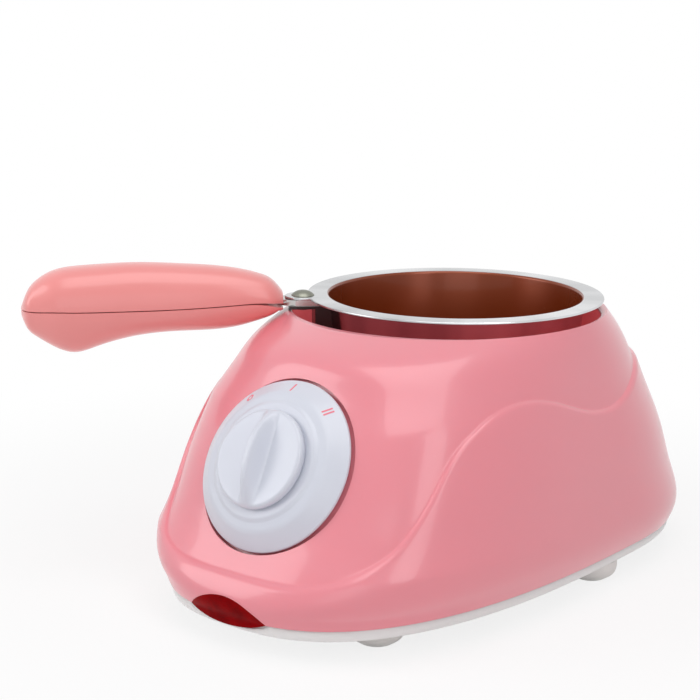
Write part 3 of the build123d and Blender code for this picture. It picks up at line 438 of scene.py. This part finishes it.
ledge = [(-1.5, -0.2), (-1.2, -0.18), (-0.9, -0.11), (-0.64, 0.01), (-0.42, 0.16), (-0.25, 0.35),
         (-0.12, 0.56), (0.0, 0.77), (0.09, 0.94), (0.22, 1.05), (0.44, 1.1), (0.8, 1.1)]
band = [(share_over(distance), inset) for distance, inset in ledge]
rings = [row_at(band[0][0] * f, -0.2) for f in np.linspace(0, 1, 28)[:-1]]
rings += [row_at(share, inset) for share, inset in band]
rise = band[-1][0]
rings += [row_at(rise + (1 - rise) * f, 1.1) for f in np.sin(np.linspace(0, np.pi / 2, 36))[1:]]
edge = rings[-1]
angle_of = np.arctan2(edge[:, 1], edge[:, 0])
edge_radius = np.hypot(edge[:, 0], edge[:, 1])
spokes = np.stack([np.cos(angle_of), np.sin(angle_of)], 1)


def circle_row(radius, z):
    radius = np.broadcast_to(radius, (columns,))
    return np.hstack([spokes * radius[:, None], np.broadcast_to(z, (columns,))[:, None]])


mouth = 52.8
roll = np.minimum(1.3, (edge_radius - mouth) * 0.8)
for f in (0.35, 0.7):
    rings.append(circle_row(edge_radius + (mouth + roll - edge_radius) * f, top))
for step in range(7):
    a = step / 6 * math.pi / 2
    rings.append(circle_row(mouth + roll * (1 - math.sin(a)), top - roll * (1 - math.cos(a))))
well_from = len(rings) - 1
for f in np.linspace(0, 1, 9)[1:]:
    rings.append(circle_row(mouth + (46.0 - mouth) * f, top - roll + (46.5 - top + roll) * f))
rings += [circle_row(42.0, 46.5), circle_row(38.0, 46.5), circle_row(38.0, 44.5), circle_row(48.0, 44.5)]
well_to = len(rings) - 3
inner_x, inner_y = outlines(grid, 2.8)
inner_radius = np.hypot(inner_x, inner_y)
wall_radius = 48.0 + (grid_z - 44.5) * 6.8 / 45.2
ceiling = np.zeros(columns)
for k in range(columns):
    fits = np.nonzero((inner_radius[:, k] > wall_radius + 0.4) & (grid_z < top - 2.2))[0]
    ceiling[k] = grid[fits[-1]]
ceiling_z = seam + ceiling * (top - seam)
for f in np.linspace(0, 1, 6)[1:]:
    z = 44.5 + (ceiling_z - 44.5) * f
    rings.append(circle_row(48.0 + (z - 44.5) * 6.8 / 45.2, z))
for f in np.linspace(1, 0, 18):
    share = ceiling * f
    ring = np.zeros((columns, 3))
    for k in range(columns):
        ring[k] = (np.interp(share[k], grid, inner_x[:, k]), np.interp(share[k], grid, inner_y[:, k]),
                   seam + share[k] * (top - seam))
    rings.append(ring)
verts, faces = loops(rings, closed=True)
# Rows of the well take the well's plastic with its painted glow.
kinds = [int(well_from <= i < well_to) for i in range(len(rings)) for _ in range(columns)]
housing = piece("housing_shell", verts, faces, [pink, pink_well_glowing], None, kinds=kinds)

# The dial's seat is set in as its own piece, and the dial's pocket, the lens's cut-out and the gland's hole are
# cut from the shell.
dial = Vector((0, -89.976, 53.34))
dial_out = Vector((0, -0.871042, 0.491208))
across = Vector((1, 0, 0))
seat = turned([(4.7, -5.4), (30.8, -5.4), (30.8, -3.1), (4.7, -3.1)], dial, dial_out, across, 192)
verts, faces = loops(seat, closed=True)
seat = piece("dial_seat", verts, faces, [pink], "housing")
pocket = turned([(28.6, -3.2), (28.6, 22.0)], dial, dial_out, across, 192)
verts, faces = loops(pocket, first_cap=True, last_cap=True)
cut(housing, piece("pocket_cutter", verts, faces, [pink], None))


def lens_arch(half, height, count=33):
    """Points of the lens shape from its right corner over the top to its left corner."""
    radius = (half**2 + height**2) / (2 * height)
    reach = math.asin(half / radius)
    turns = np.linspace(reach, -reach, count)
    return [(radius * math.sin(a), seam + height - radius + radius * math.cos(a)) for a in turns]


arch = lens_arch(15.7, 6.95)
arch = [(15.7, seam - 1)] + arch + [(-15.7, seam - 1)]
verts, faces = loops([[(x, y, z) for x, z in arch] for y in (-130, -90)], first_cap=True, last_cap=True)
cut(housing, piece("lens_cutter", verts, faces, [pink], None))
gland_hole = turned([(9.1, -14), (9.1, 10)], (0, 92.5, 25), (0, 1, 0), (-1, 0, 0), 96)
verts, faces = loops(gland_hole, first_cap=True, last_cap=True)
cut(housing, piece("gland_cutter", verts, faces, [pink], None))
dress(housing, "housing", ("upper_housing",), 32)
pad = rounded([(5.6, -10), (9.2, -10), (9.2, 0), (5.6, 0)], [0, 0, 0.6, 0])
verts, faces = loops(turned(pad, (0, 92.5, 25), (0, 1, 0), (-1, 0, 0), 96), closed=True)
piece("gland_pad", verts, faces, [pink], "housing")

# Indicator lens: a leaf of the front's own surface, a little inside its cut-out.
lens_x, lens_v, half, height = 61, 13, 15.2, 6.4
radius = (half**2 + height**2) / (2 * height)


def front_y(x, z, inset):
    share = max(z - seam, 0) / (top - seam)
    power = powers_of(share)[0]
    deep = front_of(share) + middle_of(share) - inset
    wide = side_of(share) - inset
    return middle_of(share) - deep * (1 - (abs(x) / wide) ** power) ** (1 / power)


sheets = []
for inset, bulge in ((-0.25, 0.2), (1.5, 0.0)):
    for j in range(lens_v):
        for i in range(lens_x):
            x = half * math.sin(math.pi / 2 * (2 * i / (lens_x - 1) - 1)) * 0.9995
            arc = height - radius + math.sqrt(radius**2 - x**2)
            sag = 2.7 * arc / height
            v = j / (lens_v - 1)
            z = seam - sag + (arc + sag) * v
            crown = bulge * (1 - (x / half) ** 2) * math.sin(math.pi * (0.15 + 0.7 * v))
            sheets.append((x, float(front_y(x, z, inset)) - crown, z))
faces = []
layer = lens_x * lens_v
for j in range(lens_v - 1):
    for i in range(lens_x - 1):
        a = j * lens_x + i
        faces.append((a, a + 1, a + 1 + lens_x, a + lens_x))
        faces.append((layer + a, layer + a + lens_x, layer + a + 1 + lens_x, layer + a + 1))
rim = [i for i in range(lens_x)] + [j * lens_x + lens_x - 1 for j in range(1, lens_v)]
rim += [(lens_v - 1) * lens_x + i for i in range(lens_x - 2, -1, -1)]
rim += [j * lens_x for j in range(lens_v - 2, 0, -1)]
for a, b in zip(rim, rim[1:] + rim[:1]):
    faces.append((b, a, layer + a, layer + b))
piece("red_lens", sheets, faces, [lens_red], "housing", ("indicator_lens",))

# Dial plate: a rim, a printed slope and a soft brow round a nearly flat middle, open for the nut.
plate = rounded([(9, -3.2), (25.2, -3.2), (25.2, -1.3), (27.7, -1.3), (27.7, -0.3), (22.4, 3.9),
                 (19.6, 4.5), (18.4, 5.3), (14.5, 5.3), (9, 5.3)], [0, 0, 0, 0.3, 0.6, 5.0, 1.6, 1.6, 0, 0], 8)
verts, faces = loops(turned(plate, dial, dial_out, across, 256), closed=True)
piece("white_dial", verts, faces, [white_dial], "housing", ("dial_plate",), angle=50)

# Marks of the dial: a ring, one bar and two bars, printed on its slope.
dial_up = dial_out.cross(across)
face = sorted((r, h) for r, h in plate if h > -0.2)
face_r, face_h = [r for r, h in face], [h for r, h in face]


def print_mark(name, turn, shapes):
    """A thin print centred at that turn, clockwise from the top; a shape is an outer and an inner loop."""
    verts, faces = [], []
    out = Vector((math.sin(turn), math.cos(turn)))
    aside = Vector((math.cos(turn), -math.sin(turn)))
    for outer, inner in shapes:
        n, start = len(outer), len(verts)
        for lift in (-0.1, 0.05):
            for x, y in outer + inner:
                spot = out * (24.7 + y) + aside * x
                lifted = float(np.interp(spot.length, face_r, face_h)) + lift
                verts.append(dial + across * spot.x + dial_up * spot.y + dial_out * lifted)
        for i in range(n):
            k = (i + 1) % n
            low, high = start, start + 2 * n
            faces.append((low + i, low + k, high + k, high + i))
            faces.append((high + i, high + k, high + n + k, high + n + i))
            faces.append((low + n + k, low + n + i, high + n + i, high + n + k))
    piece(name, verts, faces, [mark_ink], "housing")


def bar(middle, half=0.3, reach=1.45, count=10):
    """Outer and inner loop of a printed bar; the inner one has hardly any width."""
    side = [(half, y) for y in np.linspace(-reach, reach, count)]
    side += [(-half, y) for y in np.linspace(reach, -reach, count)]
    return [(middle + x, y) for x, y in side], [(middle + x * 0.02, y) for x, y in side]


turns = np.linspace(0, 2 * math.pi, 48, endpoint=False)
zero = ([(1.3 * math.cos(a), 1.4 * math.sin(a)) for a in turns],
        [(0.7 * math.cos(a), 0.8 * math.sin(a)) for a in turns])
print_mark("mark_zero", math.radians(-41), [zero])
print_mark("mark_one", math.radians(-2), [bar(0)])
print_mark("mark_two", math.radians(38), [bar(-0.62), bar(0.62)])

# Control knob: a thin round foot whose dished face rises to a soft grip ridge across its middle.
knob_turn = math.radians(3.5)
knob_right = across * math.cos(knob_turn) + dial_up * math.sin(knob_turn)
third = dial_out.cross(knob_right)
knob_radius, knob_low, knob_foot, knob_edge = 15.9, 6.0, 1.9, 1.3


def knob_skin(x, y):
    """Height of the knob's face over its underside at a place across and along the ridge."""
    r = math.hypot(x, y)
    dish = knob_foot + 1.1 * (abs(x) / knob_radius) ** 2
    along = max(0.0, 1 - (abs(y) / knob_radius) ** 2.4)
    crest = 7.4 * along**0.75
    share = min(max((abs(x) - 0.5) / 3.0, 0.0), 1.0)
    flank = 1 - share * share * (3 - 2 * share)
    into = max(0.0, r - (knob_radius - knob_edge))
    return dish + (crest - 1.0) * flank * along**0.3 - knob_edge + math.sqrt(max(knob_edge**2 - into**2, 0))


segments = 288
radii = list(np.linspace(0.2, knob_radius - knob_edge, 80))
radii += [knob_radius - knob_edge + knob_edge * math.sin(a) for a in np.linspace(0, math.pi / 2, 12)[1:]]
rings = []
for r in radii:
    ring = []
    for a in np.linspace(0, 2 * math.pi, segments, endpoint=False):
        x, y = r * math.cos(a), r * math.sin(a)
        ring.append(dial + knob_right * x + third * y + dial_out * (knob_low + knob_skin(x, y)))
    rings.append(ring)
for r, h in ((knob_radius, 0.2), (knob_radius - 0.2, 0.0), (10.5, 0.0), (10.5, 0.6), (3.05, 0.6)):
    rings.append(turned([(r, knob_low + h)], dial, dial_out, knob_right, segments)[0])
verts, faces = loops(rings, first_cap=True, last_cap=True)
piece("white_knob", verts, faces, [white_dial], "knob", ("control_knob",), angle=60)

# Pot: a drawn bowl with a flat flange that runs out into the ear of the handle.
pot_middle = np.array([1.4, 3.5])
arm = math.radians(-135)
profile = [(0.4, 49), (40.2, 49), (44.4, 93.35), (51, 93.35), (51, 94.15), (43.6, 94.15), (39.4, 49.8),
           (0.4, 49.8)]
shape = rounded(profile, [0, 8, 0.7, 0.25, 0.35, 1.1, 7.2, 0], 10)
apart = np.concatenate([np.linspace(0.0, 0.16, 33), np.linspace(0.16, math.pi, 110)[1:]])
apart = np.concatenate([apart, -apart[-2:0:-1]])
rings, kinds = [], []
for r, z in shape:
    ring = []
    for a in apart:
        reach = r
        if r > 50:
            aside = 52.7 * abs(math.sin(a))
            if aside < 6.2 and abs(a) < 0.3:
                ear = 52.7 * math.cos(a) + math.sqrt(6.2**2 - aside**2)
                edge = 6.2 / max(abs(math.sin(a)), 1e-6)
                ear = min(ear, edge) if edge > 51 else 51
                reach = max(r, ear - (51 - r))
        ring.append((*(pot_middle + reach * np.array([math.cos(arm + a), math.sin(arm + a)])), z))
    rings.append(ring)
verts, faces = loops(rings, first_cap=True, last_cap=True)
size = len(apart)
inside = [(r < 44.2 and z > 49.5 and i > len(shape) // 2) for i, (r, z) in enumerate(shape)]
for i in range(len(shape) - 1):
    kinds += [1 if inside[i] and inside[i + 1] else 0] * size
kinds += [0, 1]
# The inside of the pot takes the chocolate brown with its painted reflection.
piece("steel_pot", verts, faces, [pot_steel, chocolate_reflection_brown], "pot", ("pot",), kinds=kinds,
      angle=35)

# Handle halves: domed lofts over and under a split that dips towards the middle.
reach_rows = [59.8, 62.5, 67, 75, 95, 110, 123, 130, 137, 143, 146.3, 147.4]
split_of = cubic(reach_rows, [92.5, 92.9, 93.3, 93.1, 92.1, 91.8, 91.7, 91.7, 91.7, 91.4, 91.3, 91])
rise_of = cubic(reach_rows, [3.3, 6.1, 8.2, 10.4, 13.3, 14.1, 13.6, 13.1, 11.7, 8.4, 3.7, 1])
depth_of = cubic(reach_rows, [1.9, 4.3, 6.7, 8.8, 9.2, 10.4, 13.9, 15.7, 13.5, 9.5, 5.5, 2.4])
half_of = cubic(reach_rows, [6, 8.5, 10, 11, 12, 12.5, 13, 12.9, 12, 9.5, 6.1, 2.7])
along = Vector((math.cos(arm), math.sin(arm), 0))
aside = Vector((-math.sin(arm), math.cos(arm), 0))
spots = 59.8 + 87.6 * (1 - np.cos(np.linspace(0, np.pi, 90))) / 2
for name, node, sign, size_of, gap in (
    ("handle_top_shell", "handle_upper", 1, rise_of, 0.0),
    ("handle_bottom_shell", "handle_lower", -1, depth_of, 0.35),
):
    rings = []
    for r in spots:
        base, half, tall = float(split_of(r)) + sign * gap, float(half_of(r)), float(size_of(r)) - gap
        if sign < 0:
            base -= 1.3 * max(0.0, 1 - (r - 59.8) / 14) ** 2
            tall -= 1.3 * max(0.0, 1 - (r - 59.8) / 14) ** 2 if r > 61 else 0.6
        ring = []
        for a in np.linspace(0, math.pi, 45):
            c, s = math.cos(a), math.sin(a)
            x = math.copysign(abs(c) ** (2 / 2.4) * half, c)
            ring.append((x, base + sign * tall * abs(s) ** (2 / 2.4)))
        ring += [(x, base) for x in np.linspace(-half, half, 10)[1:-1]]
        middle = Vector((*pot_middle, 0)) + along * float(r)
        ring = [middle + aside * float(x) + Vector((0, 0, float(z))) for x, z in ring]
        rings.append(ring)
    verts, faces = loops(rings, first_cap=True, last_cap=True)
    made = piece(name, verts, faces, [pink_handle], "pot", (node,), angle=60)
    work = bmesh.new()
    work.from_mesh(made.data)
    bmesh.ops.recalc_face_normals(work, faces=work.faces)
    work.to_mesh(made.data)
    work.free()

# Feet: one soft pad with its stem and barb, set out at six spots under the pan by a node tree
# whose sizes are its named inputs. The pad is drawn one unit wide and one unit high.
pad = rounded([(0.02, 0), (5.2, 0), (8.6, 2.2), (9, 4.6), (9, 7), (2.9, 7), (2.9, 8.6), (4, 8.6),
               (2.9, 10.2), (0.02, 10.2)], [0, 1.2, 3.6, 1.5, 0.1, 0, 0, 0.1, 0.2, 0], 8)
pad = turned([(r / 9, z / 7) for r, z in pad], (0, 0, 0), (0, 0, 1), (1, 0, 0), 96)
verts, faces = loops([[p / mm - np.array(drawn_about) / mm for p in ring] for ring in pad], first_cap=True,
                     last_cap=True)
unit_foot = piece("unit_foot", verts, faces, [foot_grey], None)
spots = [(side * x, y, 0) for x, y in ((31.5, -78.0), (52.6, 14.5), (34.0, 62.0)) for side in (-1, 1)]
feet = piece("rubber_feet", spots, [], [foot_grey], None)
group = bpy.data.node_groups.new("feet_set_out", "GeometryNodeTree")
for name, kind, way in (("Geometry", "NodeSocketGeometry", "INPUT"), ("Foot", "NodeSocketObject", "INPUT"),
                        ("Radius", "NodeSocketFloat", "INPUT"), ("Height", "NodeSocketFloat", "INPUT"),
                        ("Paint", "NodeSocketMaterial", "INPUT"), ("Geometry", "NodeSocketGeometry", "OUTPUT")):
    group.interface.new_socket(name, in_out=way, socket_type=kind)
given = put(group, "NodeGroupInput").outputs
points = put(group, "GeometryNodeMeshToPoints", {"Mesh": given["Geometry"]}).outputs["Points"]
shape = put(group, "GeometryNodeObjectInfo", {"Object": given["Foot"]}).outputs["Geometry"]
size = put(group, "ShaderNodeCombineXYZ", {"X": given["Radius"], "Y": given["Radius"], "Z": given["Height"]})
placed = put(group, "GeometryNodeInstanceOnPoints", {"Points": points, "Instance": shape,
             "Scale": size.outputs["Vector"]}).outputs["Instances"]
solid = put(group, "GeometryNodeRealizeInstances", {"Geometry": placed}).outputs["Geometry"]
painted = put(group, "GeometryNodeSetMaterial", {"Geometry": solid, "Material": given["Paint"]})
put(group, "NodeGroupOutput", {"Geometry": painted.outputs["Geometry"]})
spread = feet.modifiers.new("feet", "NODES")
spread.node_group = group
values = {"Foot": unit_foot, "Radius": 9 * mm, "Height": 7 * mm, "Paint": foot_grey}
for socket in group.interface.items_tree:
    if socket.in_out == "INPUT" and socket.name in values:
        spread[socket.identifier] = values[socket.name]
bpy.context.view_layer.update()
made = bpy.data.meshes.new_from_object(feet.evaluated_get(bpy.context.evaluated_depsgraph_get()))
feet.modifiers.clear()
feet.data = made
bpy.data.objects.remove(unit_foot)
hands = [f"foot_{place}_{hand}" for place in ("front", "middle", "back") for hand in ("left", "right")]
dress(feet, "housing", hands)

# Pieces whose own solids have the right shape: smooth copies of what shows, and the rest as is.
for node, paint, body, name in (
    ("base_pan", white_pan, "housing", "white_base_pan"),
    ("ear_rivet", rivet_grey, "pot", "ear_rivet_head"),
    ("handle_tang", plated, "pot", "steel_tang"),
    # The strap's copy is painted near black as painted shade.
    ("pot_bracket", strap_painted_shade, "pot", "black_strap"),
    ("cord_gland", white_pan, "housing", "white_gland"),
    ("heating_plate", aluminium, "housing", "warming_plate"),
):
    made = copy_of(node, paint, body, name, 12 if node == "heating_plate" else 30)
    if node == "base_pan":
        leaf = [(15.25 * math.cos(a), seam + 0.02 + 2.9 * math.sin(a)) for a in np.linspace(0, -math.pi, 25)]
        leaf += [(-15.25, 14.0), (15.25, 14.0)]
        verts, faces = loops([[(x, y, z) for x, z in leaf] for y in (-130, -110.6)], first_cap=True,
                             last_cap=True)
        cut(made, piece("lens_recess_cutter", verts, faces, [white_pan], None))
shaft = copy_of("switch_shaft", brass, "knob", "brass_shaft")
verts, faces = loops(turned([(6, 7.4), (6, 20)], dial, dial_out, across, 48), first_cap=True, last_cap=True)
cut(shaft, piece("shaft_cutter", verts, faces, [brass], None))
paints = {
    "rotary_switch": black_plastic, "switch_nut": plated, "neon_lamp": lamp_glass,
    "lamp_holder": natural, "plate_seal": silicone, "heater_element": mica, "heater_clamp": sheet,
    "heat_shield": sheet, "thermostat": steatite, "thermal_fuse": tinned, "fuse_clip": sheet,
    "terminal_block": natural, "gland_nut": white_pan, "switch_shaft": brass,
    "handle_screw_front": plated, "handle_screw_back": plated,
}
for place in ("front_left", "front_right", "back_left", "back_right"):
    paints[f"base_screw_{place}"] = plated
for index in (1, 2, 3):
    paints[f"switch_blade_{index}"] = brass
    paints[f"hang_stud_{index}"] = plated
    paints[f"clamp_spacer_{index}"] = plated
    paints[f"shield_nut_{index}"] = plated
    paints[f"pole_screw_{index}"] = brass
stood_for = {
    "upper_housing": pink, "indicator_lens": lens_red, "dial_plate": white_dial,
    "control_knob": white_dial, "pot": pot_steel, "handle_upper": pink_handle,
    "handle_lower": pink_handle, "base_pan": white_pan, "ear_rivet": rivet_grey, "handle_tang": plated,
    "pot_bracket": strap_painted_shade, "cord_gland": white_pan, "heating_plate": aluminium,
}
for node, made in nodes.items():
    paint = paints.get(node) or stood_for.get(node) or foot_grey
    made.data.materials.clear()
    made.data.materials.append(paint)
